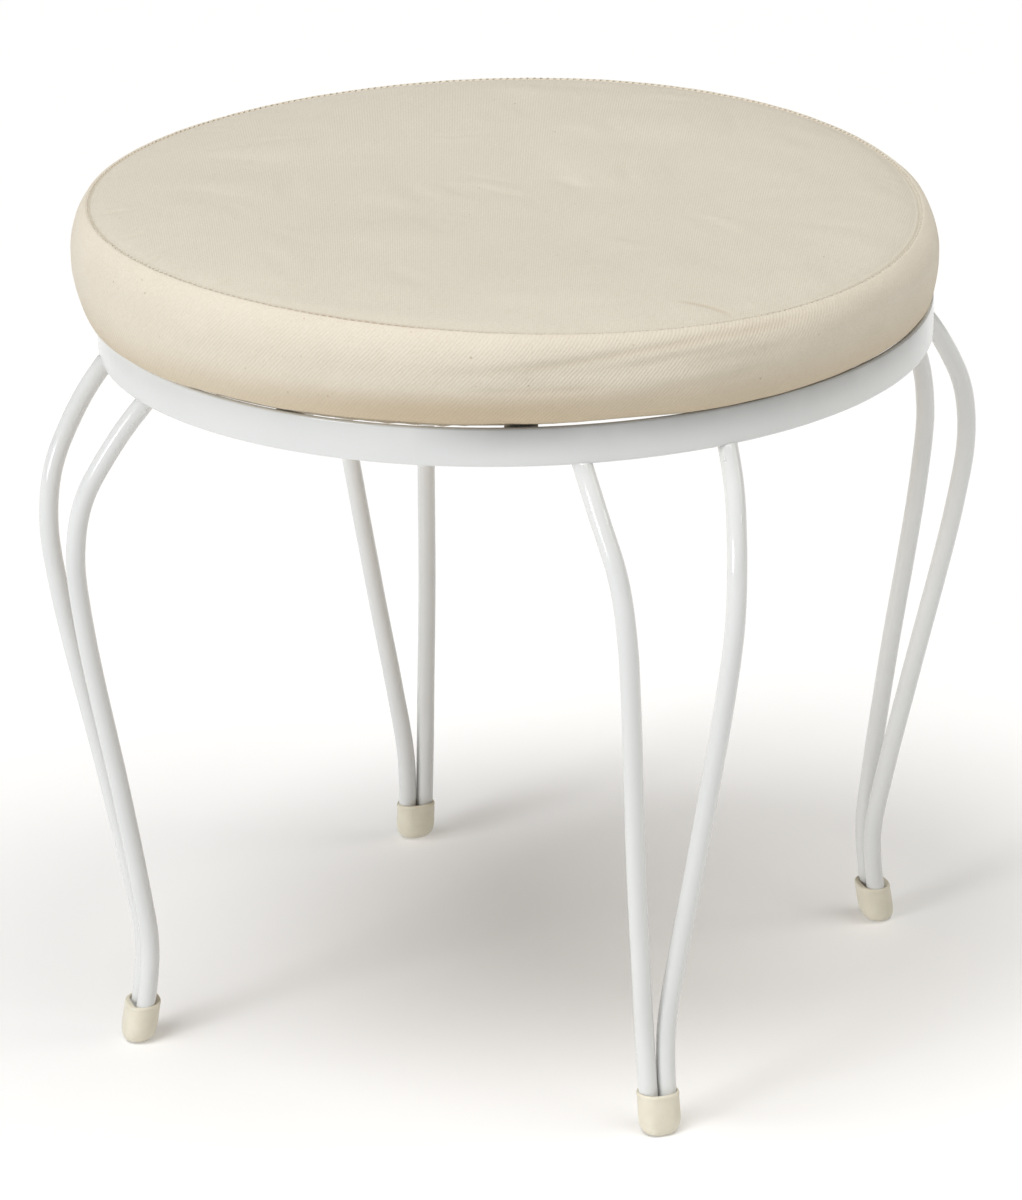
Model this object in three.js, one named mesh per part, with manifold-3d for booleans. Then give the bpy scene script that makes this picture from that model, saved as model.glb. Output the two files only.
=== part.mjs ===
// A round upholstered stool: a flat-bar hoop on four double-rod legs, with a box cushion screwed to it.
// Millimetres, +Z up. The origin is on the floor under the middle of the hoop, and -Y is the front.
import * as THREE from 'three';
import { mergeVertices } from 'three/addons/utils/BufferGeometryUtils.js';
import Module from 'manifold-3d';

const wasm = await Module();
wasm.setup();

// ---- Driving dimensions ----
const HOOP_RADIUS = 210;          // outer face of the flat-bar hoop
const BAR_HEIGHT = 19;            // flat bar 19 x 3.2
const BAR_THICKNESS = 3.2;
const HOOP_TOP = 376;
const ROD_DIAMETER = 9.6;         // round bar with its paint
const GAP = 0.3;                  // clearance between neighbouring pieces
const TAB_RADIUS = 190;           // circle of the four seat screws
const CLOTH = 1.2;                // cover fabric
const BOARD_RADIUS = 196;
const BOARD_THICKNESS = 12;
const BOARD_EDGE = 3;             // rounded edge, so that it doesn't cut the cover
const CUSHION_RADIUS = 217;       // widest part of the cushion
const WIDEST_HEIGHT = 405;
const SEAM_RADIUS = 208;          // top seam, where the top panel meets the side band
const SEAM_HEIGHT = 426;
const CROWN = 10;                 // rise of the top panel above its seam
const CROWN_POWER = 4;            // the panel is flat in the middle and falls towards its seam

// ---- Worked-out places ----
const HOOP_BOTTOM = HOOP_TOP - BAR_HEIGHT;
const HOOP_INNER = HOOP_RADIUS - BAR_THICKNESS;
const ROD_RADIUS = ROD_DIAMETER / 2;
const ROD_OFFSET = ROD_RADIUS + GAP / 2;      // half the distance between paired rods at the foot

// Stations down a leg: height, reach of the rods from the stool's axis, and half of their spread.
const LEG_STATIONS = [
  { height: HOOP_BOTTOM + 4, reach: 205.5, spread: 38 },
  { height: 335, reach: 218.5, spread: 34.2 },
  { height: 307, reach: 232, spread: 29.6 },
  { height: 278, reach: 235.7, spread: 27 },
  { height: 240, reach: 231, spread: 23.8 },
  { height: 143, reach: 210, spread: 14.9 },
  { height: 90, reach: 199, spread: 9.2 },
  { height: 54, reach: 193, spread: ROD_OFFSET + 0.9 },
  { height: 29, reach: 193.9, spread: ROD_OFFSET },
  { height: 5.5, reach: 197.4, spread: ROD_OFFSET },
];
const ROD_SIDES = 12;
const ROD_STEPS = 34;
const HOOP_SEGMENTS = 80;
const TIP_SEGMENTS = 24;
const HOLE_SEGMENTS = 24;         // washers and the holes in the tabs
const SCREW_SEGMENTS = 16;

// Each leg: its name, its turn about the axis, and how far its foot stands outside the foot circle.
const LEGS = [
  { name: 'front_right', turn: -45, splay: 0 },
  { name: 'front_left', turn: -135, splay: 16 },
  { name: 'rear_left', turn: 135, splay: 0 },
  { name: 'rear_right', turn: 45, splay: 0 },
];

// Foot tip: a soft cap over both rod ends.
const TIP = { height: 21, width: 21.6, depth: 17.6, floor: 4, round: 2.6, lip: 1, taper: 0.94 };

// Seat tab: a flat lug welded inside the hoop, with an oversize hole for a washered screw.
const TAB = { width: 16, thickness: 3, inner: 180, top: HOOP_TOP - 3, hole: 7 };
const WASHER = { radius: 6, thickness: 1, hole: 4.6 };
const SCREW = { shank: 4, head: 8, crown: 5.6, headHeight: 2.6, depth: 9 };
const TAB_PAIR_TURN = 10.5;       // the two opposite pairs of tabs are turned this far from the front
const TAB_HALF_ANGLE = 16.5;      // and each pair is this far either side of that line

const HEM_INNER = 178;            // stapled edge of the cover under the board
const HEM_UNDERSIDE = TAB.top + GAP;
const BOARD_BOTTOM = HEM_UNDERSIDE + CLOTH + GAP;
const BOARD_TOP = BOARD_BOTTOM + BOARD_THICKNESS;

// ---- Materials ----
function finish(color, roughness, metalness) {
  return new THREE.MeshStandardMaterial({ color, roughness, metalness });
}

const whitePaint = () => finish(0xe9ebea, 0.3, 0.0);
const creamVinyl = () => finish(0xe8e1cc, 0.5, 0.0);
const zincSteel = () => finish(0xb9bcc0, 0.35, 1.0);
const plywood = () => finish(0xc9a878, 0.7, 0.0);
const foam = () => finish(0xf0e6c0, 0.9, 0.0);
const cottonTwill = () => finish(0xd8ccb4, 0.9, 0.0);

const degrees = THREE.MathUtils.degToRad;

// ---- Booleans ----
function toManifold(geometry) {
  const merged = mergeVertices(stripped(geometry), 1e-4);
  return new wasm.Manifold(new wasm.Mesh({
    numProp: 3,
    vertProperties: new Float32Array(merged.attributes.position.array),
    triVerts: new Uint32Array(merged.index.array),
  }));
}

function stripped(geometry) {
  const bare = geometry.clone();
  bare.deleteAttribute('normal');
  bare.deleteAttribute('uv');
  return bare;
}

function fromManifold(solid) {
  const mesh = solid.getMesh();
  const geometry = new THREE.BufferGeometry();
  geometry.setAttribute('position', new THREE.BufferAttribute(new Float32Array(mesh.vertProperties), 3));
  geometry.setIndex(new THREE.BufferAttribute(new Uint32Array(mesh.triVerts), 1));
  geometry.computeVertexNormals();
  return geometry;
}

function cut(geometry, ...tools) {
  return fromManifold(tools.reduce((solid, tool) => solid.subtract(toManifold(tool)), toManifold(geometry)));
}

// ---- Small helpers ----
function piece(name, geometry, material) {
  const mesh = new THREE.Mesh(geometry, material);
  mesh.name = name;
  return mesh;
}

// Turns a lathe profile of [radius, height] points into a body about the Z axis.
function revolve(profile, segments) {
  const points = profile.map(([radius, height]) => new THREE.Vector2(radius, height));
  return new THREE.LatheGeometry(points, segments).rotateX(Math.PI / 2);
}

// Points of a circular arc in a profile, angles in degrees from the outward direction.
function arc(centreRadius, centreHeight, size, from, to, count) {
  return Array.from({ length: count + 1 }, (_, i) => {
    const angle = degrees(from + (to - from) * i / count);
    return [centreRadius + size * Math.cos(angle), centreHeight + size * Math.sin(angle)];
  });
}

function cylinder(radius, bottom, top, sides) {
  return new THREE.CylinderGeometry(radius, radius, top - bottom, sides)
    .rotateX(Math.PI / 2)
    .translate(0, 0, (top + bottom) / 2);
}

// ---- Hoop ----
function hoopGeometry() {
  const edge = 0.9;
  const outer = HOOP_RADIUS - edge;
  const inner = HOOP_INNER + edge;
  const low = HOOP_BOTTOM + edge;
  const high = HOOP_TOP - edge;
  const profile = [
    ...arc(outer, low, edge, -90, 0, 2),
    ...arc(outer, high, edge, 0, 90, 2),
    ...arc(inner, high, edge, 90, 180, 2),
    ...arc(inner, low, edge, 180, 270, 2),
  ];
  profile.push(profile[0]);
  return revolve(profile, HOOP_SEGMENTS);
}

// ---- Legs ----
// Path of one rod in its leg's frame: X outward, Y along the hoop, Z up.
function rodPath(side, splay) {
  const top = LEG_STATIONS[0].height;
  const points = LEG_STATIONS.map(({ height, reach, spread }) => {
    const lean = splay * (top - height) / top;
    return new THREE.Vector3(reach + lean, side * spread, height);
  });
  return new THREE.CatmullRomCurve3(points, false, 'centripetal');
}

function rodGeometry(side, splay) {
  const section = new THREE.Shape();
  for (let i = 0; i < ROD_SIDES; i += 1) {
    const angle = 2 * Math.PI * i / ROD_SIDES;
    const x = ROD_RADIUS * Math.cos(angle);
    const y = ROD_RADIUS * Math.sin(angle);
    if (i === 0) section.moveTo(x, y);
    else section.lineTo(x, y);
  }
  const rod = new THREE.ExtrudeGeometry(section, { steps: ROD_STEPS, extrudePath: rodPath(side, splay) });
  // The top is cut level, GAP below the hoop that it is welded to.
  const reachAround = 3 * ROD_DIAMETER;
  const above = new THREE.BoxGeometry(reachAround, reachAround, reachAround);
  const { reach, spread } = LEG_STATIONS[0];
  above.translate(reach, side * spread, HOOP_BOTTOM - GAP + reachAround / 2);
  return cut(rod, above);
}

// Slides each level of a tip sideways, so that it follows the lean of the rod ends.
function leanTip(geometry, splay) {
  const low = LEG_STATIONS[LEG_STATIONS.length - 1];
  const high = LEG_STATIONS[LEG_STATIONS.length - 2];
  const splayLean = splay / LEG_STATIONS[0].height;
  const slope = (high.reach - low.reach) / (high.height - low.height) - splayLean;
  const footReach = low.reach + splay - splayLean * low.height;
  const position = geometry.attributes.position;
  for (let i = 0; i < position.count; i += 1) {
    const rise = position.getZ(i) - low.height;
    position.setX(i, position.getX(i) + footReach + slope * rise);
  }
  return geometry;
}

function tipGeometry(splay) {
  const half = TIP.width / 2;
  const high = half * TIP.taper;
  const profile = [
    [0, 0],
    ...arc(half - TIP.round, TIP.round, TIP.round, -90, 0, 3),
    ...arc(high - TIP.lip, TIP.height - TIP.lip, TIP.lip, 0, 90, 2),
    [0, TIP.height],
  ];
  const outside = revolve(profile, TIP_SEGMENTS).scale(TIP.depth / TIP.width, 1, 1);
  const socket = new THREE.Shape();
  const wall = ROD_RADIUS + GAP;
  socket.absarc(0, ROD_OFFSET, wall, 0, Math.PI, false);
  socket.absarc(0, -ROD_OFFSET, wall, Math.PI, 2 * Math.PI, false);
  const settings = { depth: TIP.height, bevelEnabled: false, curveSegments: TIP_SEGMENTS / 3 };
  const hollow = new THREE.ExtrudeGeometry(socket, settings).translate(0, 0, TIP.floor);
  return cut(leanTip(outside, splay), leanTip(hollow, splay));
}

function leg({ name, turn, splay }) {
  const group = new THREE.Group();
  group.rotation.z = degrees(turn);
  group.add(piece(`leg_rod_${name}_a`, rodGeometry(-1, splay), whitePaint()));
  group.add(piece(`leg_rod_${name}_b`, rodGeometry(1, splay), whitePaint()));
  group.add(piece(`foot_tip_${name}`, tipGeometry(splay), creamVinyl()));
  return group;
}

// ---- Seat fixings ----
function tabGeometry() {
  const length = HOOP_INNER - 2 * GAP - TAB.inner;
  const plate = new THREE.BoxGeometry(length, TAB.width, TAB.thickness);
  plate.translate(TAB.inner + length / 2, 0, TAB.top - TAB.thickness / 2);
  const hole = cylinder(TAB.hole / 2, TAB.top - TAB.thickness - 1, TAB.top + 1, HOLE_SEGMENTS);
  return cut(plate, hole.translate(TAB_RADIUS, 0, 0));
}

function washerGeometry() {
  const top = TAB.top - TAB.thickness - GAP;
  const disc = cylinder(WASHER.radius, top - WASHER.thickness, top, HOLE_SEGMENTS);
  const hole = cylinder(WASHER.hole / 2, top - WASHER.thickness - 1, top + 1, HOLE_SEGMENTS);
  return cut(disc, hole).translate(TAB_RADIUS, 0, 0);
}

function screwGeometry() {
  const seat = TAB.top - TAB.thickness - GAP - WASHER.thickness - GAP;
  const head = SCREW.head / 2;
  const shank = SCREW.shank / 2;
  const tip = BOARD_BOTTOM + SCREW.depth;
  const profile = [
    [0, seat - SCREW.headHeight],
    [SCREW.crown / 2, seat - SCREW.headHeight],
    [head, seat - SCREW.headHeight / 2],
    [head, seat],
    [shank, seat],
    [shank, tip - SCREW.shank],
    [0, tip],
  ];
  return revolve(profile, SCREW_SEGMENTS).translate(TAB_RADIUS, 0, 0);
}

// The four screw places, as turns about the axis.
function tabTurns() {
  const front = -90 + TAB_PAIR_TURN;
  return [
    { name: 'front_right', turn: front + TAB_HALF_ANGLE },
    { name: 'front_left', turn: front - TAB_HALF_ANGLE },
    { name: 'rear_left', turn: front + 180 + TAB_HALF_ANGLE },
    { name: 'rear_right', turn: front + 180 - TAB_HALF_ANGLE },
  ];
}

function seatFixing({ name, turn }) {
  const group = new THREE.Group();
  group.rotation.z = degrees(turn);
  group.add(piece(`seat_tab_${name}`, tabGeometry(), whitePaint()));
  group.add(piece(`seat_washer_${name}`, washerGeometry(), zincSteel()));
  group.add(piece(`seat_screw_${name}`, screwGeometry(), zincSteel()));
  return group;
}

// Clearance bores for the four screws, from below up to the given height.
function screwBores(radius, top) {
  return tabTurns().map(({ turn }) => cylinder(radius, TAB.top, top, SCREW_SEGMENTS)
    .translate(TAB_RADIUS, 0, 0)
    .rotateZ(degrees(turn)));
}

// ---- Seat ----
const SEAT_SEGMENTS = 40;

function boardGeometry() {
  const profile = [
    [0, BOARD_BOTTOM],
    ...arc(BOARD_RADIUS - BOARD_EDGE, BOARD_BOTTOM + BOARD_EDGE, BOARD_EDGE, -90, 0, 3),
    ...arc(BOARD_RADIUS - BOARD_EDGE, BOARD_TOP - BOARD_EDGE, BOARD_EDGE, 0, 90, 3),
    [0, BOARD_TOP],
  ];
  const bore = SCREW.shank / 2 + GAP;
  return cut(revolve(profile, SEAT_SEGMENTS), ...screwBores(bore, BOARD_BOTTOM + SCREW.depth + GAP));
}

// The cushion's side, from the seam down, in over the hoop and flat under the board to the hem.
const SIDE_POINTS = [
  [SEAM_RADIUS, SEAM_HEIGHT],
  [CUSHION_RADIUS - 3.5, SEAM_HEIGHT - 4.5],
  [CUSHION_RADIUS - 0.9, SEAM_HEIGHT - 12],
  [CUSHION_RADIUS, WIDEST_HEIGHT],
  [CUSHION_RADIUS - 1, WIDEST_HEIGHT - 13],
  [HOOP_RADIUS + 2.6, HOOP_TOP + 6.5],
  [HOOP_INNER - 1.8, HOOP_TOP + 1.4],
  [BOARD_RADIUS + 3, HOOP_TOP - 1.3],
  [BOARD_RADIUS - 2.5, HEM_UNDERSIDE],
  [BOARD_RADIUS - 9, HEM_UNDERSIDE],
  [HEM_INNER, HEM_UNDERSIDE],
];
const SIDE_STEPS = 14;

// Points along the side, each moved inwards by the given depth at right angles to the outline.
function sideOutline(depth) {
  const points = SIDE_POINTS.map(([radius, height]) => new THREE.Vector3(radius, height, 0));
  const curve = new THREE.CatmullRomCurve3(points, false, 'centripetal');
  return Array.from({ length: SIDE_STEPS + 1 }, (_, i) => {
    const point = curve.getPointAt(i / SIDE_STEPS);
    const along = curve.getTangentAt(i / SIDE_STEPS);
    return [point.x + depth * along.y, point.y - depth * along.x];
  });
}

const CROWN_STEPS = 7;

function crownHeight(radius, inset) {
  return SEAM_HEIGHT + CROWN * (1 - (radius / SEAM_RADIUS) ** CROWN_POWER) - inset;
}

function crownOutline(inset, edge) {
  return Array.from({ length: CROWN_STEPS + 1 }, (_, i) => {
    const radius = edge * Math.sin(Math.PI / 2 * i / CROWN_STEPS);
    return [radius, crownHeight(radius, inset)];
  });
}

function topPanelGeometry() {
  const edge = SEAM_RADIUS - 0.5;
  const profile = [...crownOutline(CLOTH, edge), ...crownOutline(0, edge).reverse()];
  return revolve(profile, SEAT_SEGMENTS);
}

function sideBandGeometry() {
  const top = SEAM_HEIGHT - CLOTH - 2 * GAP;
  const belowSeam = ([radius, height]) => [radius, Math.min(height, top)];
  const outside = sideOutline(0).map(belowSeam);
  const inside = sideOutline(CLOTH).map(belowSeam);
  const profile = [...inside, ...outside.reverse(), inside[0]];
  return cut(revolve(profile, SEAT_SEGMENTS), ...screwBores(SCREW.shank / 2 + GAP, BOARD_BOTTOM));
}

function foamGeometry() {
  const inset = CLOTH + GAP;
  const bottom = BOARD_TOP + GAP;
  const side = sideOutline(inset).filter(([, height]) => height > bottom + 1 && height < SEAM_HEIGHT - 4);
  const profile = [
    [0, bottom],
    [BOARD_RADIUS, bottom],
    ...side.reverse(),
    ...crownOutline(inset + GAP, SEAM_RADIUS - 5).reverse(),
  ];
  return revolve(profile, SEAT_SEGMENTS);
}

// ---- Assembly ----
const stool = new THREE.Group();
stool.add(piece('hoop_band', hoopGeometry(), whitePaint()));
LEGS.forEach((spec) => stool.add(leg(spec)));
tabTurns().forEach((spec) => stool.add(seatFixing(spec)));
stool.add(piece('seat_board', boardGeometry(), plywood()));
stool.add(piece('foam_pad', foamGeometry(), foam()));
stool.add(piece('cover_side_band', sideBandGeometry(), cottonTwill()));
stool.add(piece('cover_top_panel', topPanelGeometry(), cottonTwill()));

export default stool;
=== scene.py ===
"""A round upholstered stool: a cotton box cushion on a white hoop, with four bowed legs of paired rods.

Metres, +Z up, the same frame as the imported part. -Y is the front. Turns are counter-clockwise from +X.
"""

from math import atan2, cos, hypot, pi, radians, sin, sqrt, tau

import bpy
import numpy as np
from mathutils import Matrix, Vector, noise


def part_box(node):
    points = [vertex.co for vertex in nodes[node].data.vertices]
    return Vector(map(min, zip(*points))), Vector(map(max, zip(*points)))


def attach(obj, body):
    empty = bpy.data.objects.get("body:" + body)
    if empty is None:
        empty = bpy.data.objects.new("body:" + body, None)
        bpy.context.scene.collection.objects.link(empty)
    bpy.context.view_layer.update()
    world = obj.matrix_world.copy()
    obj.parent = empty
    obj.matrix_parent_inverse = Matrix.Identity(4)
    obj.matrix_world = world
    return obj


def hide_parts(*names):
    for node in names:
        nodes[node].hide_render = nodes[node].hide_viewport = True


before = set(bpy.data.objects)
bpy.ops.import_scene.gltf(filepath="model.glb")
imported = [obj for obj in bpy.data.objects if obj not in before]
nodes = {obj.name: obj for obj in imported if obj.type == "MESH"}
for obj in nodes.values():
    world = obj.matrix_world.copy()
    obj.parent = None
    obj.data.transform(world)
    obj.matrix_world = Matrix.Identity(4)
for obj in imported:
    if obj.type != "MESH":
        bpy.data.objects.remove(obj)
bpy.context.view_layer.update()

MM = 0.001
LEGS = ("front_right", "front_left", "rear_left", "rear_right")

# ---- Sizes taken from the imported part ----
hoop_low, hoop_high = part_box("hoop_band")
HOOP_RADIUS = hoop_high.x
HOOP_BOTTOM = hoop_low.z
HOOP_TOP = hoop_high.z
BAR_THICKNESS = 3.2 * MM
ROD_RADIUS = 4.8 * MM
ROD_TOP = HOOP_BOTTOM - 0.12 * MM
board_low, board_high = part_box("seat_board")
BOARD_RADIUS = board_high.x


# ---- The cushion's sizes ----
COLUMNS = 800                    # points round each of its rings
SEAM_RADIUS = 207.4 * MM
SEAM_MEAN = 425.6 * MM
WIDE_RADIUS = 216.6 * MM
WIDE_HEIGHT = 406.3 * MM
EDGE_RADIUS = 206.8 * MM
EDGE_HEIGHT = 377.2 * MM
CROWN = 9.0 * MM
CROWN_POWER = 5
COLLAR = 5 * MM                  # width of the rings between the top's grid and the seam
SHOULDER = 22 * MM               # along the cloth from the seam to the widest part
HEM_RING = 197 * MM
HEM_LEVEL = 373.3 * MM
LOW_SIDE = radians(-10)     # the side of the seat that is sat down most
SAG = 7.5 * MM
SAG_OVAL = 3.3 * MM
DRIFT = np.array((-3.75, -1.89, 0)) * MM     # the cushion sits a little off the hoop's middle
ON_TOP, UNDERNEATH = -1.0, 3.0   # stand in for a drop where a point isn't on the side


# ---- Small helpers ----
def smooth_noise(point, size, seed=0.0):
    """Perlin noise from -1 to 1 whose bumps are about size across."""
    return noise.noise(Vector(point) / size + Vector((seed, -seed, 2 * seed)))


def faded(value, start, end):
    """0 before start, 1 after end, smooth between. Works on arrays."""
    share = np.clip((value - start) / (end - start), 0, 1)
    return share * share * (3 - 2 * share)


def near_turn(turn, middle, width):
    """1 at the middle turn, falling away over the width, both in degrees. Works on arrays."""
    return np.exp(-((turn - radians(middle)) / radians(width)) ** 2)


def turn_from(start, turn):
    """How far turn is from start, from half a turn back to half a turn on."""
    return (turn - start + pi) % tau - pi


def placed(name, data):
    """A new object in the scene."""
    made = bpy.data.objects.new(name, data)
    bpy.context.scene.collection.objects.link(made)
    return made


def set_all(thing, settings):
    for key, value in settings.items():
        setattr(thing, key, value)


def new_mesh(name, points, faces):
    mesh = bpy.data.meshes.new(name)
    mesh.from_pydata([tuple(p) for p in points], [], faces)
    return mesh


def add_mesh(name, points, faces, material):
    """A new piece on the root body, from points in metres and faces as tuples of point numbers."""
    mesh = new_mesh(name, points, faces)
    mesh.validate()
    mesh.polygons.foreach_set("use_smooth", [True] * len(mesh.polygons))
    mesh.materials.append(material)
    piece = placed(name, mesh)
    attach(piece, "root")
    return piece


def ring_faces(rows, columns, start=0, closed=False):
    """Quads between rows of points that each go round once. Closed joins the last row to the first."""
    faces = []
    for row in range(rows if closed else rows - 1):
        here = start + row * columns
        there = start + (row + 1) % rows * columns
        for column in range(columns):
            after = (column + 1) % columns
            faces.append((here + column, there + column, there + after, here + after))
    return faces


def flipped(faces):
    return [tuple(reversed(face)) for face in faces]


def tube_faces(rows, sides, start=0):
    """Faces of a tube of rings, with both ends closed."""
    last = start + (rows - 1) * sides
    ends = [tuple(reversed(range(start, start + sides))), tuple(range(last, last + sides))]
    return flipped(ring_faces(rows, sides, start=start)) + ends


def fan(point, start, columns):
    """Triangles from one point to a ring."""
    return [(point, start + k, start + (k + 1) % columns) for k in range(columns)]


def ring_turns(count):
    return [tau * k / count for k in range(count)]


def radial(turn):
    return Vector((cos(turn), sin(turn), 0))


def circle(turns, radius):
    return np.stack([np.cos(turns), np.sin(turns), np.zeros(len(turns))], axis=1) * radius


def path_at(path, passed, distance):
    """The point of a path at a distance, where passed is the distance at each of its points."""
    return np.array([np.interp(distance, passed, path[:, axis]) for axis in range(3)])


def direction(turn, rise):
    """Towards a place in the setting, turned from the front to the right and raised above the floor."""
    return Vector((sin(turn) * cos(rise), -cos(turn) * cos(rise), sin(rise)))


def middle_of(node):
    low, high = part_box(node)
    return (low + high) / 2


TAB_TURNS = [atan2(middle_of(n).y, middle_of(n).x) for n in nodes if n.startswith("seat_tab")]


# ---- Material building ----
class Graph:
    """A node material in the making. Sizes of textures are given in metres."""

    def __init__(self, name):
        self.material = bpy.data.materials.new(name)
        self.material.use_nodes = True
        self.tree = self.material.node_tree
        self.tree.nodes.clear()
        output = self.tree.nodes.new("ShaderNodeOutputMaterial")
        self.shader = self.tree.nodes.new("ShaderNodeBsdfPrincipled")
        self.tree.links.new(self.shader.outputs["BSDF"], output.inputs["Surface"])
        self.place = self.tree.nodes.new("ShaderNodeTexCoord").outputs["Object"]

    def put(self, value, socket):
        if isinstance(value, bpy.types.NodeSocket):
            self.tree.links.new(value, socket)
        else:
            socket.default_value = value

    def node(self, kind, inputs=None, **settings):
        made = self.tree.nodes.new(kind)
        set_all(made, settings)
        for key, value in (inputs or {}).items():
            self.put(value, made.inputs[key])
        return made

    def math(self, operation, first, second=0.0):
        return self.node("ShaderNodeMath", {0: first, 1: second}, operation=operation).outputs[0]

    def add(self, first, second):
        return self.math("ADD", first, second)

    def times(self, first, second):
        return self.math("MULTIPLY", first, second)

    def waves(self, distance, length):
        return self.math("SINE", self.times(distance, tau / length))

    def noise(self, size, detail=2.0, place=None, rough=0.5):
        inputs = {"Vector": place or self.place, "Scale": 1 / size, "Detail": detail, "Roughness": rough}
        return self.node("ShaderNodeTexNoise", inputs).outputs["Fac"]

    def stretched(self, along_x, along_y, along_z, turn=(0, 0, 0)):
        """Object coordinates, scaled so that a texture on them is stretched."""
        inputs = {"Vector": self.place, "Rotation": turn, "Scale": (along_x, along_y, along_z)}
        return self.node("ShaderNodeMapping", inputs).outputs["Vector"]

    def ramp(self, value, low, high, to_low=0.0, to_high=1.0):
        inputs = {"Value": value, "From Min": low, "From Max": high, "To Min": to_low, "To Max": to_high}
        return self.node("ShaderNodeMapRange", inputs).outputs["Result"]

    def blend(self, share, first, second, kind="MIX"):
        made = self.node("ShaderNodeMix", data_type="RGBA", blend_type=kind)
        self.put(share, made.inputs["Factor"])
        for socket, value in ((made.inputs[6], first), (made.inputs[7], second)):
            self.put(value if isinstance(value, bpy.types.NodeSocket) else (*value, 1.0), socket)
        return made.outputs[2]

    def bump(self, height, distance, strength=1.0):
        inputs = {"Height": height, "Distance": distance, "Strength": strength}
        return self.node("ShaderNodeBump", inputs).outputs["Normal"]

    def split(self):
        return self.node("ShaderNodeSeparateXYZ", {"Vector": self.place}).outputs

    def around(self):
        """Distance round the stool at the hoop, and the height."""
        x, y, z = self.split()
        return self.times(self.math("ARCTAN2", y, x), HOOP_RADIUS), z

    def finish(self, color, roughness, normal=None, **fixed):
        self.put(color, self.shader.inputs["Base Color"])
        self.put(roughness, self.shader.inputs["Roughness"])
        if normal is not None:
            self.put(normal, self.shader.inputs["Normal"])
        for key, value in fixed.items():
            self.shader.inputs[key.replace("_", " ")].default_value = value
        return self.material

    def finish_cloth(self, color, weave, height, depth):
        """Matt cloth with a little fuzz, rougher in the weave's hollows."""
        return self.finish(color, self.ramp(weave, -1, 1, 0.95, 0.85), self.bump(height, depth),
                           Sheen_Weight=0.12, Sheen_Roughness=0.5, Specular_IOR_Level=0.25)


def white_paint():
    """Brushed-on gloss enamel: faint unevenness, a few dust nibs, small grey rubs, and a painted shade in
    grey along the top of the hoop on one side."""
    painted_shade_side = radial(radians(-32)) / HOOP_RADIUS
    g = Graph("gloss_white_paint")
    cloudy = g.noise(40 * MM, 3)
    color = g.blend(cloudy, (0.715, 0.725, 0.72), (0.765, 0.77, 0.76))
    x, y, z = g.split()
    # Painted shade: towards the top of the hoop, on one side, the paint is blended to grey in noisy patches.
    high = g.math("POWER", g.ramp(z, HOOP_TOP - 16 * MM, HOOP_TOP, 0.0, 1.0), 1.4)
    facing = g.add(g.times(x, painted_shade_side.x), g.times(y, painted_shade_side.y))
    painted_shade_patch = g.times(g.ramp(facing, 0.70, 0.82), g.ramp(g.noise(25 * MM, 2), 0.3, 0.6, 0.8, 1.0))
    color = g.blend(g.times(g.times(high, painted_shade_patch), 0.85), color, (0.35, 0.35, 0.345))
    rubs = g.ramp(g.noise(5 * MM, 5, rough=0.7), 0.73, 0.78)
    color = g.blend(g.times(rubs, 0.5), color, (0.45, 0.45, 0.43))
    orange_peel = g.noise(2.6 * MM, 2)
    nibs = g.ramp(g.noise(1.6 * MM, 1), 0.76, 0.84)
    runs = g.noise(1.0, 2, g.stretched(140, 140, 14))
    height = g.add(g.times(orange_peel, 0.35), g.add(g.times(nibs, 0.6), g.times(runs, 0.9)))
    roughness = g.ramp(cloudy, 0.3, 0.7, 0.11, 0.19)
    return g.finish(color, roughness, g.bump(height, 0.12 * MM), IOR=1.5)


def cream_vinyl():
    """A little translucent, with fine pores and shallow dimples."""
    g = Graph("cream_vinyl")
    cloudy = g.noise(7 * MM, 3)
    color = g.blend(cloudy, (0.70, 0.645, 0.515), (0.80, 0.76, 0.645))
    low = g.ramp(g.split()[2], 0.0, 4 * MM, 0.55, 0.0)
    color = g.blend(g.times(low, g.noise(3 * MM, 4)), color, (0.42, 0.37, 0.28))
    dimples = g.noise(3.5 * MM, 1)
    pores = g.noise(0.7 * MM, 2)
    height = g.add(g.times(dimples, 0.8), g.times(pores, 0.25))
    roughness = g.ramp(cloudy, 0.3, 0.7, 0.36, 0.5)
    return g.finish(color, roughness, g.bump(height, 0.25 * MM), Subsurface_Weight=0.15,
                    Subsurface_Radius=(0.004, 0.003, 0.002), IOR=1.46)


# Brown seed specks that stand out: (x, y, size) on the top, (turn in degrees, height, size) on the side.
TOP_SPECKS = (
    (-73, 127, 0.6), (-59.5, 124, 0.8), (-17, 84, 0.6), (-10, -17, 0.5), (5, -58, 0.5), (176, -18, 0.5),
)
SIDE_SPECKS = (
    (-69, 413, 0.6), (-87.5, 390, 0.6), (-93, 389.5, 0.5), (-62, 399, 0.5), (-117, 421, 0.6),
    (-125, 419, 0.5), (-31, 388, 0.6), (-99, 398, 0.4), (24, 402, 0.6), (121, 396, 0.6), (168, 409, 0.5),
)


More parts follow.
